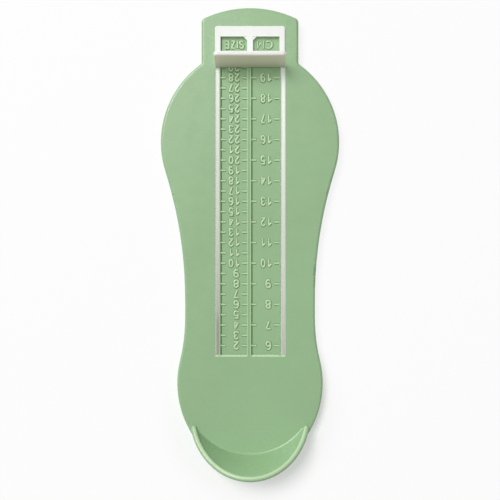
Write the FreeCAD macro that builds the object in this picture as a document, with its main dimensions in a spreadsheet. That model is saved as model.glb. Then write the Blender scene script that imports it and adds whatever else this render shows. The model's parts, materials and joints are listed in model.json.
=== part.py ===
# Infant foot gauge: a foot-shaped moulded plate with a heel cup and two sunk columns of raised
# size marks, and a slider with an upright toe stop that runs in two slots beside them.
# Frame: millimetres, +Y towards the toes, +Z up, origin under the middle of the length, on the table.
import FreeCAD
import Part
import Sketcher
import math
import os
import re

# Driving sizes in mm. Each one is set by itself; everything else follows from them.
SIZES = {
    # plan of the foot plate, from the heel end to the toe end
    "heel_to_widest": 44.0,
    "heel_to_waist": 76.0,
    "waist_straight": 8.4,
    "waist_to_ball": 76.5,
    "ball_to_toe": 65.1,
    "heel_setback": 1.0,
    "heel_radius": 26.8,
    "heel_bulge": 8.5,
    "heel_flare": 3.8,
    "forefoot_flare": 11.8,
    "forefoot_radius": 46.5,
    "shoulder_radius": 1.6,
    "head_margin": 0.35,
    "head_corner_radius": 2.4,
    "toe_cap_radius": 52.0,
    # moulding of the foot plate
    "base_height": 8.0,
    "plate_thickness": 2.4,
    "skirt_wall": 2.2,
    "skirt_lift": 0.4,
    "top_edge_radius": 1.3,
    "bottom_edge_chamfer": 0.4,
    "rib_thickness": 1.2,
    "rib_height": 3.2,
    "rib_end_margin": 17.6,
    # heel cup
    "cup_height": 18.0,
    "cup_reach": 23.8,
    "cup_outer_radius": 29.35,
    "cup_foot": 9.6,
    "cup_tip_wall": 2.0,
    "cup_floor_radius": 1.2,
    "cup_wall": 2.2,
    "cup_core_rise": 10.0,
    "rim_wall": 2.2,
    "rim_radius": 1.4,
    "rim_overhang": 0.15,
    "rim_tip_sink": 0.3,
    "rim_post_inset": 0.1,
    "rim_post_root": 1.0,
    # sunk scale columns and their marks
    "heel_to_scale": 57.1,
    "scale_cover": 3.0,
    "scale_depth": 1.5,
    "scale_half_width": 14.15,
    "divider_width": 2.2,
    "divider_shift": -0.35,
    "divider_groove_width": 0.6,
    "divider_groove_depth": 0.15,
    "mark_length": 2.3,
    "mark_width": 0.8,
    "mark_height": 0.5,
    "first_centimetre": 6,
    "last_centimetre": 20,
    # slots beside the columns
    "slot_wall": 0.7,
    "slot_width": 2.15,
    "slot_lip": 0.6,
    "slot_undercut": 0.95,
    "slot_cover": 0.7,
    # guide rails under the slots
    "rail_drop": 1.2,
    "rail_fit": 0.1,
    "rail_flange": 1.2,
    "rail_inner_flange": 1.9,
    "rail_outer_flange": 3.0,
    "rail_overlap": 1.5,
    "rail_groove_width": 0.3,
    "rail_groove_depth": 0.15,
    "channel_gap": 0.5,
    "stake_radius": 0.8,
    "stake_clearance": 0.1,
    "stake_head_radius": 1.3,
    "stake_head": 0.7,
    "stake_end_margin": 6.0,
    # slider
    "frame_to_toe": 9.2,
    "frame_length": 19.9,
    "frame_thickness": 1.2,
    "frame_lift": 0.15,
    "frame_corner_radius": 1.1,
    "frame_edge_radius": 0.4,
    "toe_bar": 5.1,
    "stop_bar": 5.4,
    "side_bar": 2.66,
    "centre_bar": 2.8,
    "gusset_leg": 1.8,
    "gusset_drop": 0.4,
    "slide_clearance": 0.15,
    "runner_clearance": 0.08,
    "runner_setback": 1.6,
    "runner_end_clearance": 0.6,
    "pin_radius": 0.5,
    "pin_clearance": 0.06,
    "pin_height": 1.6,
    "pin_end_margin": 3.0,
    # upright toe stop
    "stop_height": 22.0,
    "stop_thickness": 2.3,
    "stop_lean": 1.7,
    "stop_corner_radius": 1.8,
    "stop_edge_radius": 0.9,
    "tenon_length": 7.0,
    "tenon_thickness": 1.2,
    "tenon_spread": 9.0,
    "tenon_fit": 0.06,
    # rubber pads that the gauge stands on
    "grip_radius": 4.5,
    "grip_height": 2.0,
    "grip_seat_depth": 0.8,
    "grip_seat_wall": 1.0,
    "grip_seat_fit": 0.05,
    "grip_edge_chamfer": 0.35,
    "toe_grip_inset": 13.8,
    "toe_grip_ahead": 12.0,
    "heel_grip_inset": 16.0,
    "heel_grip_behind": 12.0,
}

# Sizes that follow from the ones above, as formulas of the same sheet.
FORMULAS = {
    "overall_length": "heel_to_waist + waist_straight + waist_to_ball + ball_to_toe",
    "heel_end": "-overall_length / 2",
    "toe_end": "overall_length / 2",
    "heel_half": "heel_radius + heel_bulge",
    "waist_half": "heel_half - heel_flare",
    "forefoot_half": "waist_half + forefoot_flare",
    "widest_y": "heel_end + heel_to_widest",
    "waist_heel_y": "heel_end + heel_to_waist",
    "waist_toe_y": "waist_heel_y + waist_straight",
    "ball_y": "toe_end - ball_to_toe",
    "plan_heel_y": "heel_end + heel_setback",
    "heel_rise": "widest_y - plan_heel_y - heel_radius",
    "heel_side_radius": "(heel_half^2 + heel_rise^2 - heel_radius^2) / (2 * heel_bulge)",
    "plate_underside": "base_height - plate_thickness",
    # heel cup
    "cup_rise": "(cup_height - rim_radius) / (cup_reach - rim_radius)",
    "cup_slope": "atan(cup_rise)",
    "cup_outer_y": "heel_end + rim_overhang + cup_outer_radius",
    "cup_tip_y": "heel_end + cup_reach",
    "cup_tip_half": "sqrt(cup_outer_radius^2 - (cup_tip_y - cup_outer_y)^2) - cup_tip_wall",
    "cup_depth": "cup_reach - cup_foot",
    "cup_low_radius": "(cup_tip_half^2 + cup_depth^2) / (2 * cup_depth)",
    "cup_axis_y": "heel_end + cup_foot + cup_low_radius",
    "cup_high_radius": "cup_axis_y - heel_end - rim_wall",
    "cup_draft": "(cup_high_radius - cup_low_radius) / (cup_height - rim_radius)",
    "cup_draft_angle": "atan(cup_draft)",
    "cup_top": "base_height + cup_height",
    "cup_fillet_run": "cup_floor_radius * tan(45 deg - cup_draft_angle / 2)",
    "rim_path_radius": "cup_outer_radius + rim_overhang - rim_radius",
    "rim_tip_y": "cup_tip_y - (rim_radius - rim_tip_sink) / cup_rise",
    "rim_tip_z": "base_height + rim_radius - rim_tip_sink",
    "rim_tip_x": "sqrt(rim_path_radius^2 - (rim_tip_y - cup_outer_y)^2)",
    "rim_path_z": "base_height + (cup_tip_y - cup_outer_y) * cup_rise",
    "rim_path_end": "(rim_tip_y - cup_outer_y) / cos(cup_slope)",
    # scale columns and slots
    "scale_zero": "heel_end + rim_wall",
    "first_mark_y": "scale_zero + 10 * first_centimetre",
    "marks_length": "10 * (last_centimetre - first_centimetre)",
    "scale_heel_y": "heel_end + heel_to_scale",
    "frame_toe_y": "toe_end - frame_to_toe",
    "frame_heel_y": "frame_toe_y - frame_length",
    "scale_toe_y": "frame_toe_y - scale_cover",
    "slot_toe_y": "frame_toe_y - slot_cover",
    "scale_floor": "base_height - scale_depth",
    "divider_left": "divider_shift - divider_width / 2",
    "divider_right": "divider_shift + divider_width / 2",
    "slot_inner": "scale_half_width + slot_wall",
    "slot_outer": "slot_inner + slot_width",
    "slot_deep_outer": "slot_outer + slot_undercut",
    "slot_shelf": "base_height - slot_lip",
    # guide rails
    "rail_top": "base_height - rail_drop",
    "rail_bottom": "plate_underside - rail_flange",
    "flange_inner": "slot_inner - rail_inner_flange",
    "flange_outer": "slot_deep_outer + rail_outer_flange",
    "rail_heel_y": "scale_heel_y - rail_overlap",
    "rail_toe_y": "slot_toe_y + rail_overlap",
    "stake_x": "slot_deep_outer + rail_outer_flange / 2",
    "stake_length": "rail_toe_y - rail_heel_y - 2 * stake_end_margin",
    "head_half": "flange_outer + head_margin + skirt_wall",
    "inner_rib_outer": "flange_inner - channel_gap",
    "inner_rib_inner": "inner_rib_outer - rib_thickness",
    "outer_rib_inner": "flange_outer + channel_gap",
    "outer_rib_outer": "outer_rib_inner + rib_thickness",
    # slider
    "frame_half": "slot_outer - slide_clearance / 2",
    "frame_bottom": "base_height + frame_lift",
    "frame_top": "frame_bottom + frame_thickness",
    "window_heel_y": "frame_heel_y + stop_bar",
    "window_toe_y": "frame_toe_y - toe_bar",
    "neck_inner": "slot_inner + slide_clearance",
    "neck_outer": "slot_outer - slide_clearance",
    "runner_outer": "slot_deep_outer - slide_clearance",
    "runner_top": "slot_shelf - runner_clearance",
    "runner_bottom": "rail_top + runner_clearance",
    "runner_heel_y": "frame_heel_y + runner_setback",
    "runner_toe_y": "slot_toe_y - runner_end_clearance",
    "pin_x": "(neck_inner + neck_outer) / 2",
    "stop_top": "base_height + stop_height",
    "tenon_heel_y": "frame_heel_y + (stop_thickness - tenon_thickness) / 2",
    "tenon_toe_y": "tenon_heel_y + tenon_thickness",
    # rubber pads
    "grip_seat_radius": "grip_radius + grip_seat_fit",
    "grip_boss_radius": "grip_seat_radius + grip_seat_wall",
    "grip_boss_bottom": "grip_height - grip_seat_depth",
    "toe_grip_x": "forefoot_half - toe_grip_inset",
    "toe_grip_y": "ball_y + toe_grip_ahead",
    "heel_grip_x": "heel_half - heel_grip_inset",
    "heel_grip_y": "widest_y - heel_grip_behind",
}

SIDES = {"left": -1, "right": 1}
CROSS_RIBS = 10
STAKES_PER_RAIL = 5

document = FreeCAD.newDocument("foot_gauge")
sheet = document.addObject("Spreadsheet::Sheet", "Sizes")
for row, (name, value) in enumerate(SIZES.items(), start=1):
    sheet.set(f"A{row}", name)
    sheet.set(f"B{row}", str(value))
    sheet.setAlias(f"B{row}", name)
for row, (name, formula) in enumerate(FORMULAS.items(), start=1):
    sheet.set(f"D{row}", name)
    sheet.set(f"E{row}", f"={formula}")
    sheet.setAlias(f"E{row}", name)
document.recompute()


def cells(expression):
    """Turn every size named in an expression into a reference to its cell."""
    def reference(word):
        known = word[0] in SIZES or word[0] in FORMULAS
        return f"Sizes.{word[0]}" if known else word[0]
    return re.sub(r"[a-z_]\w*", reference, expression)


def number(expression):
    """The present value of an expression of named sizes."""
    return float(sheet.evalExpression(cells(expression)))


def point(x, y):
    """A sketch point from two expressions."""
    return FreeCAD.Vector(number(x), number(y))


# Sketches -----------------------------------------------------------------------------------------

def origin_item(body, role):
    """One of the body's own origin planes or axes."""
    return next(item for item in body.Origin.OriginFeatures if item.Role == role)


def new_sketch(body, name, plane="XY_Plane", offset=("0", "0", "0"), tilt=None):
    """A sketch on one of the body's origin planes, moved, and tilted about its own x axis."""
    sketch = body.newObject("Sketcher::SketchObject", name)
    sketch.AttachmentSupport = [(origin_item(body, plane), "")]
    sketch.MapMode = "FlatFace"
    if tilt:
        turn = FreeCAD.Rotation(FreeCAD.Vector(1, 0, 0), number(tilt))
        sketch.AttachmentOffset = FreeCAD.Placement(FreeCAD.Vector(), turn)
        sketch.setExpression("AttachmentOffset.Rotation.Angle", cells(tilt))
    for axis, expression in zip("xyz", offset):
        sketch.setExpression(f"AttachmentOffset.Base.{axis}", cells(expression))
    return sketch


def tie(sketch, expression, kind, *geometry):
    """Add a dimension and bind it to the sheet."""
    index = sketch.addConstraint(Sketcher.Constraint(kind, *geometry, number(expression)))
    sketch.setExpression(f"Constraints[{index}]", cells(expression))


def place(sketch, geometry, end, x, y):
    """Hold one point of a sketch at two expressions, measured from its origin."""
    tie(sketch, x, "DistanceX", -1, 1, geometry, end)
    tie(sketch, y, "DistanceY", -1, 1, geometry, end)


def polygon(sketch, *corners):
    """Straight lines through corners, each corner held by a pair of expressions."""
    points = [point(x, y) for x, y in corners]
    first = sketch.GeometryCount
    for start, end in zip(points, points[1:] + points[:1]):
        sketch.addGeometry(Part.LineSegment(start, end))
    for index, (x, y) in enumerate(corners):
        before = first + (index - 1) % len(corners)
        sketch.addConstraint(Sketcher.Constraint("Coincident", before, 2, first + index, 1))
        place(sketch, first + index, 1, x, y)


def rectangle(sketch, x_low, x_high, y_low, y_high):
    polygon(sketch, (x_low, y_low), (x_high, y_low), (x_high, y_high), (x_low, y_high))


def circle(sketch, x, y, radius):
    index = sketch.addGeometry(Part.Circle(point(x, y), FreeCAD.Vector(0, 0, 1), number(radius)))
    tie(sketch, radius, "Radius", index)
    place(sketch, index, 3, x, y)


# Features -----------------------------------------------------------------------------------------

def new_body(label):
    body = document.addObject("PartDesign::Body", label)
    body.Label = label
    return body


def pad(body, sketch, length, down=False):
    feature = body.newObject("PartDesign::Pad", sketch.Name + "_pad")
    feature.Profile = sketch
    feature.setExpression("Length", cells(length))
    feature.Reversed = down
    return feature


def pocket(body, sketch, depth=None):
    """Cut downwards from a sketch, or right through the body both ways."""
    feature = body.newObject("PartDesign::Pocket", sketch.Name + "_pocket")
    feature.Profile = sketch
    if depth:
        feature.setExpression("Length", cells(depth))
    else:
        feature.Type = "ThroughAll"
        feature.SideType = "Symmetric"
    return feature


def mirrored(body, *features):
    """Repeat features on the other side of the centre plane."""
    feature = body.newObject("PartDesign::Mirrored", features[-1].Name + "_mirrored")
    feature.Originals = list(features)
    feature.MirrorPlane = (origin_item(body, "YZ_Plane"), [""])
    body.Tip = feature
    return feature


def row_along_y(body, features, length, count):
    """Repeat features in a row along +Y."""
    feature = body.newObject("PartDesign::LinearPattern", features[-1].Name + "_row")
    feature.Originals = features
    feature.Direction = (origin_item(body, "Y_Axis"), [""])
    feature.setExpression("Length", cells(length))
    feature.setExpression("Occurrences", cells(count))
    body.Tip = feature
    return feature


def edges_of(base, wanted):
    """The edges of a feature that pass a test."""
    document.recompute()
    names = [f"Edge{index}" for index, edge in enumerate(base.Shape.Edges, start=1) if wanted(edge)]
    return base, names


def rounded(body, base, radius, wanted):
    feature = body.newObject("PartDesign::Fillet", base.Name + "_fillet")
    feature.Base = edges_of(base, wanted)
    feature.setExpression("Radius", cells(radius))
    return feature


def chamfered(body, base, size, wanted):
    feature = body.newObject("PartDesign::Chamfer", base.Name + "_chamfer")
    feature.Base = edges_of(base, wanted)
    feature.setExpression("Size", cells(size))
    return feature


def lies_at(z):
    """Test for edges that lie flat at a height."""
    height = number(z)
    return lambda edge: max(abs(edge.BoundBox.ZMin - height), abs(edge.BoundBox.ZMax - height)) < 1e-3


def upright(edge):
    """Test for straight edges that run along Z."""
    return edge.BoundBox.ZLength > 1e-3 and max(edge.BoundBox.XLength, edge.BoundBox.YLength) < 1e-3


# Plan of the foot plate ---------------------------------------------------------------------------

def toward(start, end, distance):
    """The point at a distance from start on the way to end."""
    return start + (end - start).normalize() * distance


def hollow_radius(near, radius, line_x, line_y):
    """Radius of the hollow arc that touches a round side about near and the line x = line_x.

    It leaves the line at line_y.
    """
    across = line_x - near.x
    along = line_y - near.y
    return (across ** 2 + along ** 2 - radius ** 2) / (2 * (radius - across))


def arc_between(centre, start, end):
    """The shorter arc between two points, and which of its ends are start and end."""
    first = math.atan2(start.y - centre.y, start.x - centre.x)
    last = math.atan2(end.y - centre.y, end.x - centre.x)
    counterclockwise = (last - first) % (2 * math.pi) < math.pi
    angles = (first, last) if counterclockwise else (last, first)
    ring = Part.Circle(centre, FreeCAD.Vector(0, 0, 1), (start - centre).Length)
    return Part.ArcOfCircle(ring, *angles), (1, 2) if counterclockwise else (2, 1)


def draw_half_plan(sketch, inset):
    """Right half of the foot-shaped plan, drawn as tangent arcs from toe to heel.

    inset is how far the line runs inside the outer edge, as an expression.
    """
    corner = f"max(head_corner_radius - {inset}; 0.4)"
    step = number(inset)
    head_x = number("head_half") - step
    waist_x = number("waist_half") - step
    cap_radius = number("toe_cap_radius") - step
    corner_radius = number(corner)
    shoulder_radius = number("shoulder_radius") + step
    forefoot_radius = number("forefoot_radius") - step
    side_radius = number("heel_side_radius") - step
    toe = FreeCAD.Vector(0, number("toe_end") - step)
    heel = FreeCAD.Vector(0, number("plan_heel_y") + step)
    waist_toe = FreeCAD.Vector(waist_x, number("waist_toe_y"))
    waist_heel = FreeCAD.Vector(waist_x, number("waist_heel_y"))

    cap_centre = point("0", "toe_end - toe_cap_radius")
    corner_x = head_x - corner_radius
    corner_rise = math.sqrt((cap_radius - corner_radius) ** 2 - corner_x ** 2)
    corner_centre = FreeCAD.Vector(corner_x, cap_centre.y + corner_rise)
    forefoot_centre = point("forefoot_half - forefoot_radius", "ball_y")
    shoulder_x = head_x + shoulder_radius
    shoulder_reach = forefoot_radius + shoulder_radius
    shoulder_rise = math.sqrt(shoulder_reach ** 2 - (shoulder_x - forefoot_centre.x) ** 2)
    shoulder_centre = FreeCAD.Vector(shoulder_x, forefoot_centre.y + shoulder_rise)
    side_centre = point("heel_half - heel_side_radius", "widest_y")
    heel_centre = point("0", "plan_heel_y + heel_radius")
    fore_hollow = hollow_radius(forefoot_centre, forefoot_radius, waist_x, waist_toe.y)
    heel_hollow = hollow_radius(side_centre, side_radius, waist_x, waist_heel.y)
    fore_hollow_centre = waist_toe + FreeCAD.Vector(fore_hollow, 0)
    heel_hollow_centre = waist_heel + FreeCAD.Vector(heel_hollow, 0)

    # each stretch in turn: its centre, or None where it is straight, and where it ends
    stretches = (
        (cap_centre, toward(cap_centre, corner_centre, cap_radius)),
        (corner_centre, FreeCAD.Vector(head_x, corner_centre.y)),
        (None, FreeCAD.Vector(head_x, shoulder_centre.y)),
        (shoulder_centre, toward(forefoot_centre, shoulder_centre, forefoot_radius)),
        (forefoot_centre, toward(forefoot_centre, fore_hollow_centre, forefoot_radius)),
        (fore_hollow_centre, waist_toe),
        (None, waist_heel),
        (heel_hollow_centre, toward(side_centre, heel_hollow_centre, side_radius)),
        (side_centre, toward(side_centre, heel_centre, side_radius)),
        (heel_centre, heel),
        (None, toe),
    )
    ends = []
    here = toe
    for centre, there in stretches:
        geometry, order = Part.LineSegment(here, there), (1, 2)
        if centre is not None:
            geometry, order = arc_between(centre, here, there)
        sketch.addGeometry(geometry)
        ends.append(order)
        here = there

    cap, corner_arc, head_side, shoulder, forefoot, _, waist, _, heel_side, heel_arc, axis = range(11)
    for index in range(cap, heel_arc):
        joint = (index, ends[index][1], index + 1, ends[index + 1][0])
        sketch.addConstraint(Sketcher.Constraint("Tangent", *joint))
    sketch.addConstraint(Sketcher.Constraint("Coincident", heel_arc, ends[heel_arc][1], axis, 1))
    sketch.addConstraint(Sketcher.Constraint("Coincident", axis, 2, cap, ends[cap][0]))
    for geometry, end in ((axis, 1), (axis, 2), (cap, 3), (heel_arc, 3)):
        sketch.addConstraint(Sketcher.Constraint("PointOnObject", geometry, end, -2))
    for side in (head_side, waist):
        sketch.addConstraint(Sketcher.Constraint("Vertical", side))
    tie(sketch, f"toe_end - {inset}", "DistanceY", -1, 1, axis, 2)
    tie(sketch, f"plan_heel_y + {inset}", "DistanceY", -1, 1, axis, 1)
    tie(sketch, f"toe_cap_radius - {inset}", "Radius", cap)
    tie(sketch, corner, "Radius", corner_arc)
    tie(sketch, f"head_half - {inset}", "DistanceX", -1, 1, head_side, 1)
    tie(sketch, f"shoulder_radius + {inset}", "Radius", shoulder)
    tie(sketch, f"forefoot_radius - {inset}", "Radius", forefoot)
    place(sketch, forefoot, 3, "forefoot_half - forefoot_radius", "ball_y")
    place(sketch, waist, 1, f"waist_half - {inset}", "waist_toe_y")
    tie(sketch, "waist_heel_y", "DistanceY", -1, 1, waist, 2)
    tie(sketch, f"heel_side_radius - {inset}", "Radius", heel_side)
    tie(sketch, "widest_y", "DistanceY", -1, 1, heel_side, 3)
    tie(sketch, f"heel_radius - {inset}", "Radius", heel_arc)


# Heel cup -----------------------------------------------------------------------------------------

def cup_radius(z, wall):
    """Inside radius of the cup at a height, moved outwards into its wall."""
    return f"cup_low_radius + {wall} + cup_draft * ({z} - base_height)"


def draw_cup_inside(sketch):
    """Inside of the cup in section: floor, small fillet and slanted wall, closed on its axis."""
    above = "cup_top + cup_height"
    corners = (
        ("0", "base_height"),
        ("cup_low_radius - cup_fillet_run", "base_height"),
        ("cup_low_radius + cup_fillet_run * sin(cup_draft_angle)",
         "base_height + cup_fillet_run * cos(cup_draft_angle)"),
        (cup_radius(above, "0"), above),
        ("0", above),
    )
    points = [point(x, y) for x, y in corners]
    centre = point("cup_low_radius - cup_fillet_run", "base_height + cup_floor_radius")
    fillet = 1
    for index, (start, end) in enumerate(zip(points, points[1:] + points[:1])):
        if index == fillet:
            sketch.addGeometry(arc_between(centre, start, end)[0])
        else:
            sketch.addGeometry(Part.LineSegment(start, end))
    for index, (x, y) in enumerate(corners):
        before = (index - 1) % len(corners)
        sketch.addConstraint(Sketcher.Constraint("Coincident", before, 2, index, 1))
        place(sketch, index, 1, x, y)
    tie(sketch, "cup_floor_radius", "Radius", fillet)


def turn_out(body, inside):
    """Cut a profile away, turned about the vertical axis of its own sketch."""
    groove = body.newObject("PartDesign::Groove", inside.Name + "_groove")
    groove.Profile = inside
    groove.ReferenceAxis = (inside, ["V_Axis"])
    groove.Angle = 360


def slant_top(body):
    """Cut the cup down along the slanted plane of its rim, and off square where the rim ends."""
    slope = new_sketch(body, "cup_slope_line", "YZ_Plane")
    ahead = "cup_axis_y + cup_high_radius"
    behind = "heel_end - cup_reach"
    above = "cup_top + cup_height"
    polygon(
        slope,
        (behind, "base_height + 2 * cup_reach * cup_rise"),
        ("rim_tip_y", "rim_tip_z"),
        ("rim_tip_y", "base_height"),
        (ahead, "base_height"),
        (ahead, above),
        (behind, above))
    pocket(body, slope)


def add_rim(body):
    """Rolled rim of the cup: a bead along its slanted edge, which ends in a ball on a short post."""
    path = new_sketch(body, "rim_path", offset=("0", "cup_outer_y", "rim_path_z"), tilt="-cup_slope")
    long_radius = "rim_path_radius / cos(cup_slope)"
    back = FreeCAD.Vector(0, -number(long_radius))
    side = FreeCAD.Vector(number("rim_path_radius"), 0)
    turn = math.acos(-number("rim_path_end") / number(long_radius))
    ellipse = Part.Ellipse(back, side, FreeCAD.Vector())
    arc = path.addGeometry(Part.ArcOfEllipse(ellipse, 0, turn))
    path.exposeInternalGeometry(arc)
    long_axis, short_axis = arc + 1, arc + 2
    path.addConstraint(Sketcher.Constraint("Coincident", arc, 3, -1, 1))
    path.addConstraint(Sketcher.Constraint("PointOnObject", long_axis, 1, -2))
    tie(path, f"2 * {long_radius}", "Distance", long_axis)
    tie(path, "2 * rim_path_radius", "Distance", short_axis)
    path.addConstraint(Sketcher.Constraint("PointOnObject", arc, 1, -2))
    tie(path, "rim_path_end", "DistanceY", -1, 1, arc, 2)
    section = new_sketch(body, "rim_section", "YZ_Plane")
    back_z = "base_height + (cup_tip_y - heel_end - rim_radius) * cup_rise"
    circle(section, "heel_end + rim_radius", back_z, "rim_radius")
    document.recompute()
    bead = body.newObject("PartDesign::AdditivePipe", "rim_bead")
    bead.Profile = section
    bead.Spine = (path, ["Edge1"])
    ball = body.newObject("PartDesign::AdditiveSphere", "rim_end")
    ball.AttachmentSupport = [(origin_item(body, "XY_Plane"), "")]
    ball.MapMode = "FlatFace"
    ball.setExpression("Radius", cells("rim_radius"))
    for axis in "xyz":
        ball.setExpression(f"AttachmentOffset.Base.{axis}", cells(f"rim_tip_{axis}"))
    foot = new_sketch(body, "rim_post", offset=("0", "0", "base_height - rim_post_root"))
    circle(foot, "rim_tip_x", "rim_tip_y", "rim_radius - rim_post_inset")
    post = pad(body, foot, "rim_tip_z - base_height + rim_post_root")
    mirrored(body, bead, ball, post)


# Foot plate ---------------------------------------------------------------------------------------

def make_underside_core():
    """The hollow under the plate as a solid: skirt, ribs, grip bosses and the cored cup are left out."""
    core = new_body("underside_core")
    plan = new_sketch(core, "core_plan", offset=("0", "0", "skirt_lift - 1"))
    draw_half_plan(plan, "skirt_wall")
    mirrored(core, pad(core, plan, "plate_underside - skirt_lift + 1"))

    disc = new_sketch(core, "cup_core", offset=("0", "0", "skirt_lift - 1"))
    circle(disc, "0", "cup_outer_y", "cup_outer_radius - cup_wall")
    pad(core, disc, "base_height - skirt_lift + 1 + cup_core_rise")
    inside = new_sketch(core, "cup_core_inside", "YZ_Plane", ("cup_axis_y", "0", "0"))
    floor = "plate_underside"
    above = "cup_top + cup_height"
    low, high = (cup_radius(z, "cup_wall") for z in (floor, above))
    polygon(inside, ("0", floor), (low, floor), (high, above), ("0", above))
    turn_out(core, inside)

    lengthwise = new_sketch(core, "long_ribs", offset=("0", "0", "plate_underside"))
    ends = ("heel_end", "toe_end")
    rectangle(lengthwise, "-rib_thickness / 2", "rib_thickness / 2", *ends)
    for sign in ("", "-"):
        rectangle(lengthwise, f"{sign}inner_rib_inner", f"{sign}inner_rib_outer", *ends)
        rectangle(lengthwise, f"{sign}outer_rib_inner", f"{sign}outer_rib_outer", *ends)
    pocket(core, lengthwise, "rib_height")

    crosswise = new_sketch(core, "cross_ribs", offset=("0", "0", "plate_underside"))
    first = ("heel_end + rib_end_margin", "heel_end + rib_end_margin + rib_thickness")
    rectangle(crosswise, "-inner_rib_inner", "inner_rib_inner", *first)
    for sign in ("", "-"):
        rectangle(crosswise, f"{sign}outer_rib_outer", f"{sign}forefoot_half", *first)
    cut = pocket(core, crosswise, "rib_height")
    row_along_y(core, [cut], "overall_length - 2 * rib_end_margin - rib_thickness", str(CROSS_RIBS))

    bosses = new_sketch(core, "grip_bosses", offset=("0", "0", "plate_underside"))
    for sign in ("", "-"):
        circle(bosses, f"{sign}toe_grip_x", "toe_grip_y", "grip_boss_radius")
        circle(bosses, f"{sign}heel_grip_x", "heel_grip_y", "grip_boss_radius")
    pocket(core, bosses, "plate_underside - grip_boss_bottom")
    return core


def add_marks(body, name, spans, pitch):
    """A row of raised marks on the scale floor, one for each pitch of the foot's length."""
    marks = new_sketch(body, name, offset=("0", "0", "scale_floor"))
    for low, high in spans:
        rectangle(marks, low, high, "first_mark_y - mark_width / 2", "first_mark_y + mark_width / 2")
    row_along_y(body, [pad(body, marks, "mark_height")], "marks_length", f"marks_length / {pitch} + 1")


def make_base_shell():
    shell = new_body("base_shell")
    plan = new_sketch(shell, "plan", offset=("0", "0", "skirt_lift"))
    draw_half_plan(plan, "0")
    plate = mirrored(shell, pad(shell, plan, "base_height - skirt_lift"))
    eased = rounded(shell, plate, "top_edge_radius", lies_at("base_height"))
    chamfered(shell, eased, "bottom_edge_chamfer", lies_at("skirt_lift"))

    disc = new_sketch(shell, "cup_disc", offset=("0", "0", "skirt_lift + bottom_edge_chamfer"))
    circle(disc, "0", "cup_outer_y", "cup_outer_radius")
    pad(shell, disc, "base_height - skirt_lift - bottom_edge_chamfer + cup_height")
    inside = new_sketch(shell, "cup_inside", "YZ_Plane", ("cup_axis_y", "0", "0"))
    draw_cup_inside(inside)
    turn_out(shell, inside)
    slant_top(shell)
    add_rim(shell)

    columns = new_sketch(shell, "scale_columns", offset=("0", "0", "base_height"))
    rectangle(columns, "-scale_half_width", "divider_left", "scale_heel_y", "scale_toe_y")
    rectangle(columns, "divider_right", "scale_half_width", "scale_heel_y", "scale_toe_y")
    pocket(shell, columns, "scale_depth")
    groove = new_sketch(shell, "divider_groove", offset=("0", "0", "base_height"))
    groove_sides = ("divider_shift - divider_groove_width / 2", "divider_shift + divider_groove_width / 2")
    rectangle(groove, *groove_sides, "scale_heel_y", "scale_toe_y")
    pocket(shell, groove, "divider_groove_depth")
    slots = new_sketch(shell, "slots", offset=("0", "0", "base_height"))
    undercuts = new_sketch(shell, "slot_undercuts", offset=("0", "0", "slot_shelf"))
    for sign in ("", "-"):
        rectangle(slots, f"{sign}slot_inner", f"{sign}slot_outer", "scale_heel_y", "slot_toe_y")
        rectangle(undercuts, f"{sign}slot_inner", f"{sign}slot_deep_outer", "scale_heel_y", "slot_toe_y")
    pocket(shell, slots, "slot_lip")
    pocket(shell, undercuts, "slot_shelf - plate_underside + rail_flange")

    size_spans = (
        ("-scale_half_width", "mark_length - scale_half_width"),
        ("divider_left - mark_length", "divider_left"),
    )
    centimetre_spans = (
        ("divider_right", "divider_right + mark_length"),
        ("scale_half_width - mark_length", "scale_half_width"),
    )
    add_marks(shell, "size_marks", size_spans, 5)
    add_marks(shell, "centimetre_marks", centimetre_spans, 10)

    hollow = shell.newObject("PartDesign::Boolean", "hollow")
    hollow.Type = "Cut"
    hollow.setObjects([make_underside_core()])
    shell.Tip = hollow

    seats = new_sketch(shell, "grip_seats", offset=("0", "0", "grip_height"))
    for sign in ("", "-"):
        circle(seats, f"{sign}toe_grip_x", "toe_grip_y", "grip_seat_radius")
        circle(seats, f"{sign}heel_grip_x", "heel_grip_y", "grip_seat_radius")
    pocket(shell, seats, "grip_height")

    shanks = new_sketch(shell, "stake_shanks", offset=("0", "0", "plate_underside"))
    heads = new_sketch(shell, "stake_heads", offset=("0", "0", "rail_bottom"))
    for sign in ("", "-"):
        circle(shanks, f"{sign}stake_x", "rail_heel_y + stake_end_margin", "stake_radius")
        circle(heads, f"{sign}stake_x", "rail_heel_y + stake_end_margin", "stake_head_radius")
    shank = pad(shell, shanks, "rail_flange", down=True)
    head = pad(shell, heads, "stake_head", down=True)
    row_along_y(shell, [shank, head], "stake_length", str(STAKES_PER_RAIL))
    return shell


# Pieces fixed to the plate ------------------------------------------------------------------------

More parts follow.
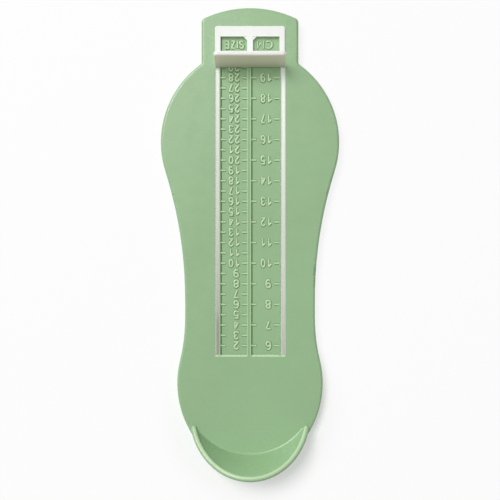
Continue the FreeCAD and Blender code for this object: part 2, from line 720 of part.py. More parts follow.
def make_guide_rail(side):
    """White rail that closes a slot from below: a flange under the plate and a stem in the slot."""
    sign = SIDES[side]
    rail = new_body(f"guide_rail_{side}")
    flange = new_sketch(rail, "rail_flange_plan", offset=("0", "0", "rail_bottom"))
    rectangle(flange, f"{sign} * flange_inner", f"{sign} * flange_outer", "rail_heel_y", "rail_toe_y")
    pad(rail, flange, "rail_flange")
    stem = new_sketch(rail, "rail_stem_plan", offset=("0", "0", "plate_underside"))
    stem_ends = ("scale_heel_y + rail_fit", "slot_toe_y - rail_fit")
    stem_sides = (f"{sign} * (slot_inner + rail_fit)", f"{sign} * (slot_deep_outer - rail_fit)")
    rectangle(stem, *stem_sides, *stem_ends)
    pad(rail, stem, "rail_top - plate_underside")
    groove = new_sketch(rail, "rail_groove", offset=("0", "0", "rail_top"))
    middle = f"{sign} * (slot_inner + slot_outer) / 2"
    groove_sides = (f"{middle} - rail_groove_width / 2", f"{middle} + rail_groove_width / 2")
    rectangle(groove, *groove_sides, *stem_ends)
    pocket(rail, groove, "rail_groove_depth")
    holes = new_sketch(rail, "stake_holes", offset=("0", "0", "plate_underside"))
    hole_radius = "stake_radius + stake_clearance"
    circle(holes, f"{sign} * stake_x", "rail_heel_y + stake_end_margin", hole_radius)
    row_along_y(rail, [pocket(rail, holes, "rail_flange")], "stake_length", str(STAKES_PER_RAIL))
    return rail


def make_grip_pad(end, side):
    """Round rubber pad, seated in its boss and proud of the skirt."""
    sign = SIDES[side]
    grip = new_body(f"grip_pad_{end}_{side}")
    disc = new_sketch(grip, "grip_disc")
    circle(disc, f"{sign} * {end}_grip_x", f"{end}_grip_y", "grip_radius")
    chamfered(grip, pad(grip, disc, "grip_height"), "grip_edge_chamfer", lies_at("0"))
    return grip


# Slider -------------------------------------------------------------------------------------------

def make_slider_frame():
    """Frame with two sight windows, and a neck on each side that drops into the slot."""
    frame = new_body("slider_frame")
    plan = new_sketch(frame, "frame_plan", offset=("0", "0", "frame_bottom"))
    rectangle(plan, "-frame_half", "frame_half", "frame_heel_y", "frame_toe_y")
    plate = pad(frame, plan, "frame_thickness")
    toe_edge = number("frame_toe_y")
    corners = rounded(
        frame, plate, "frame_corner_radius",
        lambda edge: upright(edge) and abs(edge.BoundBox.YMax - toe_edge) < 1e-3)
    rounded(frame, corners, "frame_edge_radius", lies_at("frame_top"))

    windows = new_sketch(frame, "sight_windows", offset=("0", "0", "frame_top"))
    for sign in ("", "-"):
        rectangle(
            windows, f"{sign}centre_bar / 2", f"{sign}(frame_half - side_bar)",
            "window_heel_y", "window_toe_y")
    pocket(frame, windows, "frame_thickness")
    gussets = new_sketch(frame, "gussets", offset=("0", "0", "frame_bottom"))
    for sign in ("", "-"):
        polygon(
            gussets,
            (f"{sign}centre_bar / 2", "window_toe_y"),
            (f"{sign}(centre_bar / 2 + gusset_leg)", "window_toe_y"),
            (f"{sign}centre_bar / 2", "window_toe_y - gusset_leg"))
    pad(frame, gussets, "frame_thickness - gusset_drop")

    necks = new_sketch(frame, "necks", offset=("0", "0", "frame_bottom"))
    for sign in ("", "-"):
        rectangle(necks, f"{sign}neck_inner", f"{sign}neck_outer", "runner_heel_y", "runner_toe_y")
    pad(frame, necks, "frame_bottom - runner_top", down=True)
    holes = new_sketch(frame, "pin_holes", offset=("0", "0", "runner_top + pin_height + pin_clearance"))
    for sign in ("", "-"):
        for pin_y in ("runner_heel_y + pin_end_margin", "runner_toe_y - pin_end_margin"):
            circle(holes, f"{sign}pin_x", pin_y, "pin_radius + pin_clearance")
    pocket(frame, holes, "pin_height + pin_clearance")
    mortises = new_sketch(frame, "mortises", offset=("0", "0", "frame_top"))
    for sign in ("", "-"):
        rectangle(
            mortises,
            f"{sign}tenon_spread - tenon_length / 2 - tenon_fit",
            f"{sign}tenon_spread + tenon_length / 2 + tenon_fit",
            "tenon_heel_y - tenon_fit", "tenon_toe_y + tenon_fit")
    pocket(frame, mortises, "frame_thickness")
    return frame


def make_toe_stop():
    """Upright plate that leans a little to the toe end and plugs into the frame."""
    stop = new_body("toe_stop")
    profile = new_sketch(stop, "stop_profile", "YZ_Plane", ("0", "0", "-frame_half"))
    polygon(
        profile,
        ("frame_heel_y", "frame_top"),
        ("frame_heel_y + stop_thickness", "frame_top"),
        ("frame_heel_y + stop_thickness + stop_lean", "stop_top"),
        ("frame_heel_y + stop_lean", "stop_top"))
    plate = pad(stop, profile, "2 * frame_half")
    top = number("stop_top")

    def top_corner(edge):
        return edge.BoundBox.XLength < 1e-3 and edge.BoundBox.ZMin > top - 1e-3
    corners = rounded(stop, plate, "stop_corner_radius", top_corner)
    foot = number("frame_top")

    def side_or_top_rim(edge):
        box = edge.BoundBox
        lengthwise = box.YLength > number("stop_thickness") - 1e-3 and box.ZLength < 1e-3
        return box.ZMax > foot + 1e-3 and not lengthwise
    rounded(stop, corners, "stop_edge_radius", side_or_top_rim)
    tenons = new_sketch(stop, "tenons", offset=("0", "0", "frame_top"))
    for sign in ("", "-"):
        rectangle(
            tenons,
            f"{sign}tenon_spread - tenon_length / 2", f"{sign}tenon_spread + tenon_length / 2",
            "tenon_heel_y", "tenon_toe_y")
    pad(stop, tenons, "frame_thickness", down=True)
    return stop


def make_slider_runner(side):
    """Hooked runner: a foot that slides under the lip of the slot, pinned up into the frame's neck."""
    sign = SIDES[side]
    runner = new_body(f"slider_runner_{side}")
    foot = new_sketch(runner, "runner_foot", offset=("0", "0", "runner_bottom"))
    rectangle(
        foot, f"{sign} * neck_inner", f"{sign} * runner_outer", "runner_heel_y", "runner_toe_y")
    pad(runner, foot, "runner_top - runner_bottom")
    pins = new_sketch(runner, "runner_pins", offset=("0", "0", "runner_top"))
    for pin_y in ("runner_heel_y + pin_end_margin", "runner_toe_y - pin_end_margin"):
        circle(pins, f"{sign} * pin_x", pin_y, "pin_radius")
    pad(runner, pins, "pin_height")
    return runner


# Build, check and write ---------------------------------------------------------------------------

pieces = [make_base_shell(), make_slider_frame(), make_toe_stop()]
for side_name in SIDES:
    pieces.append(make_guide_rail(side_name))
    pieces.append(make_slider_runner(side_name))
    for end_name in ("toe", "heel"):
        pieces.append(make_grip_pad(end_name, side_name))
document.recompute()

failed = [item.Name for item in document.Objects if {"Invalid", "Error"} & set(item.State)]
if failed:
    raise RuntimeError(f"these objects did not recompute: {failed}")
for piece in pieces:
    if piece.Shape.isNull() or not piece.Shape.isValid() or len(piece.Shape.Solids) != 1:
        raise RuntimeError(f"{piece.Label} is not one sound solid")

os.makedirs("parts", exist_ok=True)
for piece in pieces:
    piece.Shape.exportStep(f"parts/{piece.Label}.step")
    print(piece.Label, round(piece.Shape.Volume, 2), piece.Shape.BoundBox)
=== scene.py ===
"""Infant foot gauge: finishes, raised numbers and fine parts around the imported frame.

The file is laid out as an add-on and is run as a script. Lengths are metres, but for those that
say millimetres. The sizes and colours that a user would change are properties.
"""

import json
import math

import bmesh
import bpy
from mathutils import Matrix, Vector

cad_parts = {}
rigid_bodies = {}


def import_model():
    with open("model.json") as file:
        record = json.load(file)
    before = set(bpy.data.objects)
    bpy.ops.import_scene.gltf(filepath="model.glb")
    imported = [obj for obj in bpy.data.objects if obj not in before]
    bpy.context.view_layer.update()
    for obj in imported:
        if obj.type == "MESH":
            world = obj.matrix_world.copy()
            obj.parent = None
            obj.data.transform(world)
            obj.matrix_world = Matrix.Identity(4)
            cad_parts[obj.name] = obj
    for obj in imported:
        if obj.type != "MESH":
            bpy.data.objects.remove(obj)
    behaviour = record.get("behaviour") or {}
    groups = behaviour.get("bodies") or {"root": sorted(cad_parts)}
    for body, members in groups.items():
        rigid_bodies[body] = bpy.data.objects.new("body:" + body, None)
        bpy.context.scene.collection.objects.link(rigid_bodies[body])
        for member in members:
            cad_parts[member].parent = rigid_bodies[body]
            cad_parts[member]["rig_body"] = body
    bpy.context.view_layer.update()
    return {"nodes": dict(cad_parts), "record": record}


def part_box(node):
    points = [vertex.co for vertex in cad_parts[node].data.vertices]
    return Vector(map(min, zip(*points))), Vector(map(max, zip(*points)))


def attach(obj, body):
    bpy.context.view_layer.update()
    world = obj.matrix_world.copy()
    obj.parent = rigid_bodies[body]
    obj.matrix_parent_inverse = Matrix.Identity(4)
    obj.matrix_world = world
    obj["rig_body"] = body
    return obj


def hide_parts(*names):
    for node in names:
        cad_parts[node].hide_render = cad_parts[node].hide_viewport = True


bl_info = {
    "name": "Infant foot gauge",
    "version": (1, 0, 0),
    "blender": (4, 5, 0),
    "location": "3D View > Sidebar > Foot gauge",
    "description": "Moulded foot gauge with raised scales and a sliding toe stop",
    "category": "Object",
}

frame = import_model()

MM = 0.001
CENTIMETRE = 10 * MM
PLATE_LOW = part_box("base_shell")[0]
FRAME_LOW, FRAME_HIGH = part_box("slider_frame")
RAIL_LOW, RAIL_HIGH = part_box("guide_rail_right")
# the slider's frame is this thick and rides this far above the plate's flat top
FRAME_THICKNESS = 1.2 * MM
FRAME_LIFT = 0.15 * MM
# radius of its edges as they leave the mould
FRAME_EASE = 0.12 * MM
# how far the rails' painted shade reaches along them for each metre that they stand beside the
# middle
SHADE_SKEW = 1.1
# vertices closer than this are the same corner of the CAD solid
SAME_PLACE = 0.0005 * MM
# corners closer than this to a wall or a level are on it
NEAR = 0.01 * MM
# pieces that touch reach this far into each other
OVERLAP = 0.02 * MM


# Colours ------------------------------------------------------------------------------------------

def linear(code):
    """An sRGB hex colour as linear red, green and blue."""
    def channel(value):
        share = value / 255
        return share / 12.92 if share <= 0.04045 else ((share + 0.055) / 1.055) ** 2.4
    return tuple(channel(int(code[start:start + 2], 16)) for start in (0, 2, 4))


def opaque(colour):
    """A colour with full alpha, as colour sockets take it."""
    return (*colour[:3], 1.0)


# Settings -----------------------------------------------------------------------------------------

def length(name, text, millimetres):
    """A length property in metres whose default is given in millimetres."""
    return bpy.props.FloatProperty(
        name=name, description=text, default=millimetres * MM, unit="LENGTH", precision=5)


def colour(name, text, code):
    """A colour property whose default is an sRGB hex value."""
    return bpy.props.FloatVectorProperty(
        name=name, description=text, default=linear(code), subtype="COLOR", size=3, min=0, max=1)


class GAUGE_PG_scale(bpy.types.PropertyGroup):
    """Sizes of the two sunk scale columns and what is raised on them."""

    rim_wall: length("Rim wall", "From the heel end to the zero of the scale", 2.2)
    heel_to_columns: length("Heel to columns", "From the heel end to the columns", 57.1)
    depth: length("Depth", "How far the columns are sunk below the plate's top", 1.5)
    half_width: length("Half width", "From the centre line to the outer edge of each column", 14.15)
    wall: length("Wall", "Thickness of the wall between a column and its slot", 0.7)
    slot_outer: length("Slot outer edge", "From the centre line to the slots' outer edge", 17)
    # the end slopes and edge lines are pale painted highlights, the strips at the walls' foot
    # painted shade
    end_slope: length("End slope", "Width of the rubbed slope at the columns' heel end", 0.7)
    edge_line: length("Edge line", "Width of the rubbed lines along walls and divider", 0.2)
    wall_draft: length("Wall draft", "How far the walls beside the marks slope to their foot", 0.18)
    foot_shade_width: length("Dull width", "Width of the dull strip at the foot of these walls", 0.5)
    proud: length("Proud", "How far rubbed edges stand over the plate they lie on", 0.02)
    divider: length("Divider", "Width of the bar between the columns", 2.2)
    divider_shift: length("Divider shift", "How far the bar stands beside the centre line", -0.35)
    first: bpy.props.IntProperty(name="First", description="First centimetre mark", default=6)
    last: bpy.props.IntProperty(name="Last", description="Last centimetre mark", default=20)
    size_shift: bpy.props.IntProperty(
        name="Size shift", description="Shoe size is twice the centimetres less this", default=10)
    mark_length: length("Mark length", "Length of each raised mark", 2.3)
    mark_width: length("Mark width", "Width of each raised mark's flat top", 0.74)
    mark_rise: length("Mark rise", "Height of a mark above its column", 0.5)
    flare: length("Flare", "How far the sides of marks and characters spread to their foot", 0.32)
    digit_height: length("Digit height", "Height of the digits of the shoe sizes", 4.25)
    centimetre_height: length("Centimetre height", "Height of the centimetres' digits", 4.55)
    digit_width: length("Digit width", "Width of the digits of two-digit numbers", 2.6)
    single_width: length("Single width", "Width of a digit that stands alone", 2.95)
    single_inset: length("Single inset", "How much later a digit that stands alone begins", 0.3)
    digit_gap: length("Digit gap", "Between two digits of a number", 0.4)
    stroke: length("Stroke", "Thickness of the strokes that make up the characters", 0.8)
    shoulder: length("Shoulder", "Height of the shoulders of marks, characters and edges", 0.12)
    stroke_rise: length("Stroke rise", "How far characters stand above their column", 0.75)
    size_start: length("Size start", "Where the shoe sizes begin, read from the toe end", -4.85)
    centimetre_start: length("Centimetre start", "Where the centimetre numbers begin", 10.7)
    heading_height: length("Heading height", "Height of the letters that head the columns", 4.3)
    heading_ahead: length("Heading ahead", "From the slider's toe edge to the headings", 8.6)
    size_heading: length("Size heading", "Where the heading of the shoe sizes begins", -2.7)
    size_letter: length("Size letter", "Width of that heading's letters", 2.6)
    centimetre_heading: length("Centimetre heading", "Where the other heading begins", 11.2)
    centimetre_letter: length("Centimetre letter", "Width of that heading's letters", 3.75)


class GAUGE_PG_finish(bpy.types.PropertyGroup):
    """Colours of the gauge's plastics and rubber."""

    plate: colour("Plate", "Sage green of the moulded plate", "90B286")
    # this pale green is a painted highlight, on the heel cup's rim and the columns' end slopes and
    # edges
    highlit: colour("Rubbed", "Pale green of the rubbed rim, slopes and edges", "BFDAB2")
    # lighter green on raised figures is a painted highlight; the dull green at their foot, painted
    # shade
    figure_highlight: colour("Figure", "Lighter green of the raised characters and marks", "B2CDA5")
    foot_shade: colour("Figure foot", "Dull green where dirt gathers at their foot", "557C40")
    rim_outer: length("Rim outer radius", "Radius of the heel cup's rim, seen from above", 29.5)
    rim_radius: length("Rim radius", "Half the thickness of the heel cup's rim", 1.4)
    slider: colour("Slider", "White of the slider", "E8E9E6")
    # the warm white to warm grey of the stop's heel-facing face is painted shade
    face_shade_high: colour("Touched, high", "Warm white of the stop's face at its top", "F7EBD8")
    face_shade_low: colour("Touched, low", "Warm grey of the stop's face at its foot", "C6C1AC")
    face_shade_top: length("Touched top", "Height up to which the stop's face has a warm grey", 28.05)
    # a painted shadow line below the stop's face
    joint_shadow: colour("Soiled", "Dark grey of the line of dirt below the stop's face", "837F71")
    # the rails' grey towards the heel end is painted shade, their lighter strips by the walls
    # painted light
    rail: colour("Rail", "White of the slot rails at the toe end", "F4F4F2")
    rail_shaded: colour("Worn rail", "Grey of the rails at the heel end, where dust gathers", "9C998C")
    painted_light_strip: length("Clean strip", "Width of the rails' clean strips beside the walls", 0.8)
    runner: colour("Runner", "Natural white of the runners", "E4E3DA")
    rubber: colour("Rubber", "Grey of the rubber pads", "6D716D")


class GAUGE_PG_stage(bpy.types.PropertyGroup):
    """Camera, light and floor of the plain studio."""

    camera_height: length("Camera height", "Camera above the floor", 498.0)
    camera_shift: length("Camera shift", "Camera along the plate from its middle", -4.4)
    view_angle: bpy.props.FloatProperty(
        name="View angle", description="Camera's full angle of view", default=math.radians(27.75),
        subtype="ANGLE")
    floor: colour("Floor", "White of the floor", "FDFDFD")
    floor_size: length("Floor size", "Side of the square floor", 6000.0)
    glow: bpy.props.FloatProperty(
        name="Glow", description="Share of plain white in the floor as the camera sees it",
        default=0.8, subtype="FACTOR", min=0, max=1)
    heel_glow: bpy.props.FloatProperty(
        name="Heel glow", description="The same share close to the heel cup", default=0.2,
        subtype="FACTOR", min=0, max=1)
    heel_centre: length("Heel centre", "From the heel end to the middle of its lesser glow", 28.0)
    heel_shadow: length("Heel shadow", "Radius round the heel cup that has the lesser glow", 33.0)
    heel_fade: length("Heel fade", "Radius from which the floor has its full glow", 50.0)
    lamp_distance: length("Lamp distance", "From the plate's middle to each lamp", 3000.0)
    lamp_size: length("Lamp size", "Side of each square lamp", 1150.0)
    lamp_bearing: bpy.props.FloatProperty(
        name="Lamp bearing", description="The lamps' direction, from the toe end towards the left",
        default=math.radians(45), subtype="ANGLE")
    high_share: bpy.props.FloatProperty(
        name="High lamp share", description="Share of the light from the high lamp", default=0.45,
        subtype="FACTOR", min=0, max=1)
    high_elevation: bpy.props.FloatProperty(
        name="High lamp elevation", description="High lamp above the horizon",
        default=math.radians(64), subtype="ANGLE")
    low_share: bpy.props.FloatProperty(
        name="Low lamp share", description="Share of the light from the low lamp", default=0.25,
        subtype="FACTOR", min=0, max=1)
    low_elevation: bpy.props.FloatProperty(
        name="Low lamp elevation", description="Low lamp above the horizon",
        default=math.radians(36), subtype="ANGLE")


# Node helper --------------------------------------------------------------------------------------

def add_node(tree, kind, settings=None, sockets=None):
    """Add a node, set its options, and set or link its input sockets by name or number."""
    node = tree.nodes.new(kind)
    for name, value in (settings or {}).items():
        setattr(node, name, value)
    for name, value in (sockets or {}).items():
        if isinstance(value, bpy.types.NodeSocket):
            tree.links.new(value, node.inputs[name])
        else:
            node.inputs[name].default_value = value
    return node


def per_metre(millimetres):
    """Texture scale at which a pattern's features are this large."""
    return 1 / (millimetres * MM)


# Materials ----------------------------------------------------------------------------------------

# how strongly ABS bends light; acetal and rubber come close to it
PLASTIC_IOR = 1.53
# nearly all of a noise pattern's values lie between these
NOISE_LOW = 0.3
NOISE_HIGH = 0.7
# how much the roughness of moulded plastic varies to either side, in patches this large
POLISH_SPREAD = 0.04
POLISH_PATCH = 6.0


def new_material(name):
    """An empty node material with its output node."""
    material = bpy.data.materials.new(name)
    material.use_nodes = True
    tree = material.node_tree
    tree.nodes.clear()
    return material, tree, tree.nodes.new("ShaderNodeOutputMaterial")


def shade(colour_value, factor):
    """The same colour, lighter or darker."""
    return opaque(tuple(min(1.0, channel * factor) for channel in colour_value[:3]))


def share_between(tree, value, low, high, stops):
    """How much painted highlight or shade shows, 0 to 1, as a value goes from low to high.

    stops are pairs of a place on that way, 0 to 1, and the share there.
    """
    place = add_node(tree, "ShaderNodeMapRange", {}, {
        "Value": value, "From Min": low, "From Max": high})
    ramp = add_node(tree, "ShaderNodeValToRGB", {}, {0: place.outputs[0]})
    elements = ramp.color_ramp.elements
    while len(elements) < len(stops):
        elements.new(0.5)
    for element, (position, share) in zip(elements, stops):
        element.position = position
        element.color = opaque((share, share, share))
    return ramp.outputs["Color"]


def moulded_plastic(
        name, base, roughness, grain, grain_depth, cloud=45.0, contrast=0.03, tinted=None):
    """Injection-moulded plastic: an even colour with faint flow clouds, and a fine eroded grain.

    The clouds and the grain are these sizes in millimetres, and grain_depth is the grain's height.
    Real grain is finer and is drawn coarse so that it shows. tinted may turn the colour's socket
    into another one, given the tree and the coordinates.
    """
    material, tree, output = new_material(name)
    coordinates = add_node(tree, "ShaderNodeTexCoord").outputs["Object"]
    clouds, patches, grains = (
        add_node(tree, "ShaderNodeTexNoise", {}, {
            "Vector": coordinates, "Scale": per_metre(size), "Detail": detail}).outputs["Fac"]
        for size, detail in ((cloud, 3.0), (POLISH_PATCH, 2.0), (grain, 1.0)))
    cloudy = add_node(tree, "ShaderNodeMapRange", {}, {
        "Value": clouds, "From Min": NOISE_LOW, "From Max": NOISE_HIGH})
    tint = add_node(tree, "ShaderNodeMix", {"data_type": "RGBA"}, {
        0: cloudy.outputs[0], 6: shade(base, 1 - contrast),
        7: shade(base, 1 + contrast)}).outputs[2]
    if tinted:
        tint = tinted(tree, coordinates, tint)
    gloss = add_node(tree, "ShaderNodeMapRange", {}, {
        "Value": patches, "From Min": NOISE_LOW, "From Max": NOISE_HIGH,
        "To Min": roughness - POLISH_SPREAD, "To Max": roughness + POLISH_SPREAD})
    bump = add_node(tree, "ShaderNodeBump", {}, {
        "Strength": 1.0, "Distance": grain_depth * MM, "Height": grains})
    shader = add_node(tree, "ShaderNodeBsdfPrincipled", {}, {
        "Base Color": tint, "Roughness": gloss.outputs[0], "IOR": PLASTIC_IOR,
        "Normal": bump.outputs["Normal"]})
    tree.links.new(shader.outputs["BSDF"], output.inputs["Surface"])
    return material


def rimmed_plastic(name, finish):
    """The plate's ABS from an eroded mould: soft gloss on a fine grain.

    Its colour is painted paler along the top of the heel cup's rim, a painted highlight.
    """
    def highlit(tree, coordinates, tint):
        centre = (0, PLATE_LOW.y + finish.rim_outer, 0)
        flat = add_node(tree, "ShaderNodeVectorMath", {"operation": "MULTIPLY"}, {
            0: coordinates, 1: (1, 1, 0)})
        reach = add_node(tree, "ShaderNodeVectorMath", {"operation": "DISTANCE"}, {
            0: flat.outputs[0], 1: centre})
        across = share_between(
            tree, reach.outputs["Value"], finish.rim_outer - 2 * finish.rim_radius,
            finish.rim_outer, ((0.0, 0.0), (0.15, 0.85), (0.5, 0.5), (0.85, 0.0)))
        place = add_node(tree, "ShaderNodeSeparateXYZ", {}, {0: coordinates})
        above = share_between(
            tree, place.outputs["Z"], FRAME_HIGH.z - FRAME_THICKNESS, FRAME_HIGH.z,
            ((0.0, 0.0), (1.0, 1.0)))
        share = add_node(tree, "ShaderNodeMath", {"operation": "MULTIPLY"}, {0: across, 1: above})
        return add_node(tree, "ShaderNodeMix", {"data_type": "RGBA"}, {
            0: share.outputs[0], 6: tint, 7: opaque(finish.highlit)}).outputs[2]
    return moulded_plastic(
        name, finish.plate, roughness=0.28, grain=0.6, grain_depth=0.004, tinted=highlit)


def figure_plastic(name, pale, foot, floor, rise):
    """The plate's ABS where it stands up from the columns: a painted highlight above, painted shade
    at its foot.

    floor is the height of the columns' floor, and rise how far above it the ABS is at its palest.
    """
    def painted_light_by_height(tree, coordinates, tint):
        place = add_node(tree, "ShaderNodeSeparateXYZ", {}, {0: coordinates})
        # by height: painted highlight on top, painted shade at the foot
        highlit = share_between(
            tree, place.outputs["Z"], floor, floor + rise, ((0.0, 0.0), (0.55, 0.05), (0.88, 1.0)))
        return add_node(tree, "ShaderNodeMix", {"data_type": "RGBA"}, {
            0: highlit, 6: opaque(foot), 7: tint}).outputs[2]
    return moulded_plastic(
        name, pale, roughness=0.3, grain=0.6, grain_depth=0.002, tinted=painted_light_by_height)


def face_shaded_plastic(name, finish):
    """The slider's ABS from a polished mould: a clean white gloss.

    On its faces towards the heel the colour is painted shade, warm and darker towards the foot, with
    a painted shadow line below.
    """
    def painted_face_shade(tree, coordinates, tint):
        place = add_node(tree, "ShaderNodeSeparateXYZ", {}, {0: coordinates})
        height = share_between(
            tree, place.outputs["Z"], FRAME_LOW.z, finish.face_shade_top,
            ((0.0, 1.0), (0.45, 0.25), (1.0, 0.0)))
        warm = add_node(tree, "ShaderNodeMix", {"data_type": "RGBA"}, {
            0: height, 6: opaque(finish.face_shade_high), 7: opaque(finish.face_shade_low)})
        # painted shadow: dark grey on heel-facing faces below the middle of the frame's thickness
        shadow = share_between(
            tree, place.outputs["Z"], FRAME_HIGH.z - FRAME_THICKNESS / 2, FRAME_HIGH.z,
            ((0.0, 1.0), (1.0, 0.0)))
        joint_shadow = add_node(tree, "ShaderNodeMix", {"data_type": "RGBA"}, {
            0: shadow, 6: warm.outputs[2], 7: opaque(finish.joint_shadow)})
        facing = add_node(tree, "ShaderNodeSeparateXYZ", {}, {
            0: add_node(tree, "ShaderNodeNewGeometry").outputs["Normal"]})
        # the painted shade is full on faces within about 25 degrees of the heel's direction
        towards_heel = share_between(
            tree, facing.outputs["Y"], -0.9, -0.3, ((0.0, 1.0), (1.0, 0.0)))
        return add_node(tree, "ShaderNodeMix", {"data_type": "RGBA"}, {
            0: towards_heel, 6: tint, 7: joint_shadow.outputs[2]}).outputs[2]
    return moulded_plastic(
        name, finish.slider, roughness=0.4, grain=0.8, grain_depth=0.001, contrast=0.01,
        tinted=painted_face_shade)


def shaded_rail(name, finish, inner, outer):
    """White moulded ABS in the slots, whose edges are inner and outer: a clean gloss at the toe end.

    Painted shade greys it towards the heel end, more in the left slot; a strip beside each slot's
    left wall keeps its white, painted light against the wall's cast shadow.
    """
    def painted_rail_shade(tree, coordinates, tint):
        place = add_node(tree, "ShaderNodeSeparateXYZ", {}, {0: coordinates})
        skewed = add_node(tree, "ShaderNodeMath", {"operation": "MULTIPLY_ADD"}, {
            0: place.outputs["X"], 1: SHADE_SKEW, 2: place.outputs["Y"]})
        shading = share_between(
            tree, skewed.outputs[0], RAIL_LOW.y, FRAME_LOW.y,
            ((0.0, 1.0), (0.05, 0.78), (0.35, 0.48), (0.72, 0.26), (1.0, 0.0)))
        # the slots' left walls stand at the same distance from a line beside the middle
        beside = add_node(tree, "ShaderNodeMath", {"operation": "ADD"}, {
            0: place.outputs["X"], 1: (outer - inner) / 2})
        across = add_node(tree, "ShaderNodeMath", {"operation": "ABSOLUTE"}, {0: beside.outputs[0]})
        past_wall = add_node(tree, "ShaderNodeMath", {"operation": "SUBTRACT"}, {
            0: across.outputs[0], 1: (outer + inner) / 2})
        from_wall = add_node(tree, "ShaderNodeMath", {"operation": "ABSOLUTE"}, {
            0: past_wall.outputs[0]})
        # less painted shade beside each left wall: painted light where that wall's shadow falls
        shade_kept = share_between(
            tree, from_wall.outputs[0], 0.0, finish.painted_light_strip,
            ((0.0, 0.1), (0.6, 0.3), (1.0, 1.0)))
        share = add_node(tree, "ShaderNodeMath", {"operation": "MULTIPLY"}, {0: shading, 1: shade_kept})
        return add_node(tree, "ShaderNodeMix", {"data_type": "RGBA"}, {
            0: share.outputs[0], 6: tint, 7: opaque(finish.rail_shaded)}).outputs[2]
    return moulded_plastic(
        name, finish.rail, roughness=0.32, grain=0.5, grain_depth=0.002, contrast=0.015,
        tinted=painted_rail_shade)


def natural_acetal(name, finish):
    """Moulded acetal without pigment: milky white, with the low waxy gloss that slides well."""
    return moulded_plastic(name, finish.runner, roughness=0.3, grain=0.6, grain_depth=0.002)


def moulded_rubber(name, finish):
    """Moulded rubber: dull and a little mottled, with a soft coarse grain that grips the table."""
    return moulded_plastic(
        name, finish.rubber, roughness=0.78, grain=0.7, grain_depth=0.02, cloud=5.0, contrast=0.08)


def material_for(slot):
    """The finish of one of the record's material slots, made once."""
    finish, scale = bpy.context.scene.gauge_finish, bpy.context.scene.gauge_scale
    makers = {
        "green_plate": ("sage_abs_eroded", rimmed_plastic),
        "white_slider": ("white_abs_polished", face_shaded_plastic),
        "white_rail": ("white_abs_rail", lambda name, finish: shaded_rail(
            name, finish, scale.half_width + scale.wall, scale.slot_outer)),
        "runner_plastic": ("natural_acetal", natural_acetal),
        "grip_rubber": ("grey_rubber_moulded", moulded_rubber),
    }
    name, maker = makers[slot]
    return bpy.data.materials.get(name) or maker(name, finish)


def figure_material(name, pale):
    """The finish of what is raised on the columns, with this pale colour above, made once."""
    finish, scale = bpy.context.scene.gauge_finish, bpy.context.scene.gauge_scale
    return bpy.data.materials.get(name) or figure_plastic(
        name, pale, finish.foot_shade, scale_floor(scale), scale.mark_rise)


# Meshes -------------------------------------------------------------------------------------------

# an edge between faces that turn by more than this is a corner of its piece
SHARP_TURN = math.radians(50)
# the same on the CAD copies and on the marks, whose round parts turn in smaller steps
COPY_TURN = math.radians(32)
MARK_TURN = math.radians(40)
# faces that turn by less than this are one flat face
FLAT_TURN = math.radians(0.2)


def slot_of(node):
    """The record's material slot of a CAD node."""
    rows = frame["record"]["subparts"]
    return next(row["material_slot"] for row in rows if row["node"] == node)


def wear(piece, slot):
    """Give a piece the finish of a slot."""
    piece.data.materials.clear()
    piece.data.materials.append(material_for(slot))


def link(name, mesh):
    """A new object at the origin that shows a mesh."""
    piece = bpy.data.objects.new(name, mesh)
    bpy.context.scene.collection.objects.link(piece)
    return piece


def smooth_by_angle(mesh, angle):
    """Shade a mesh smooth, but for edges that turn by more than an angle."""
    mesh.shade_smooth()
    mesh.set_sharp_from_angle(angle=angle)


def mark_eased(shape, above):
    """Mark a mesh's sharp edges above a height for the bevel that eases them."""
    weights = shape.edges.layers.float.new("bevel_weight_edge")
    for edge in shape.edges:
        high = (edge.verts[0].co.z + edge.verts[1].co.z) / 2 > above
        if high and len(edge.link_faces) == 2 and edge.calc_face_angle() > SHARP_TURN:
            edge[weights] = 1.0


def finished_copy(node, name, prepare=None, eased_above=None, ease=0.0):
    """A merged copy of a CAD node that stands for it.

    prepare may change the merged mesh before its flat faces are joined. Sharp edges whose middle
    is above the height eased_above are rounded, ease wide.
    """
    mesh = frame["nodes"][node].data.copy()
    mesh.name = name
    shape = bmesh.new()
    shape.from_mesh(mesh)
    bmesh.ops.remove_doubles(shape, verts=shape.verts, dist=SAME_PLACE)
    if prepare:
        prepare(shape)
    bmesh.ops.dissolve_limit(
        shape, angle_limit=FLAT_TURN, verts=shape.verts, edges=shape.edges)
    if eased_above is not None:
        mark_eased(shape, eased_above)
    shape.to_mesh(mesh)
    shape.free()
    if mesh.attributes.get("custom_normal"):
        mesh.attributes.remove(mesh.attributes["custom_normal"])
    smooth_by_angle(mesh, COPY_TURN)
    piece = link(name, mesh)
    if eased_above is not None:
        bevel = piece.modifiers.new("ease", "BEVEL")
        bevel.limit_method = "WEIGHT"
        bevel.width = ease
        bevel.segments = 2
    normals = piece.modifiers.new("flat faces stay flat", "WEIGHTED_NORMAL")
    normals.keep_sharp = True
    wear(piece, slot_of(node))
    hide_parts(node)
    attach(piece, frame["nodes"][node]["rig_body"])


def raised_piece(name, mesh, material):
    """A piece that is moulded on the plate, from its mesh."""
    mesh.materials.append(material)
    piece = link(name, mesh)
    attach(piece, "base")


def shape_to_mesh(name, shape):
    """End the building of a shape of bars: a mesh whose faces all look outwards."""
    bmesh.ops.recalc_face_normals(shape, faces=shape.faces)
    mesh = bpy.data.meshes.new(name)
    shape.to_mesh(mesh)
    shape.free()
    smooth_by_angle(mesh, SHARP_TURN)
    return mesh


# Geometry node trees ------------------------------------------------------------------------------

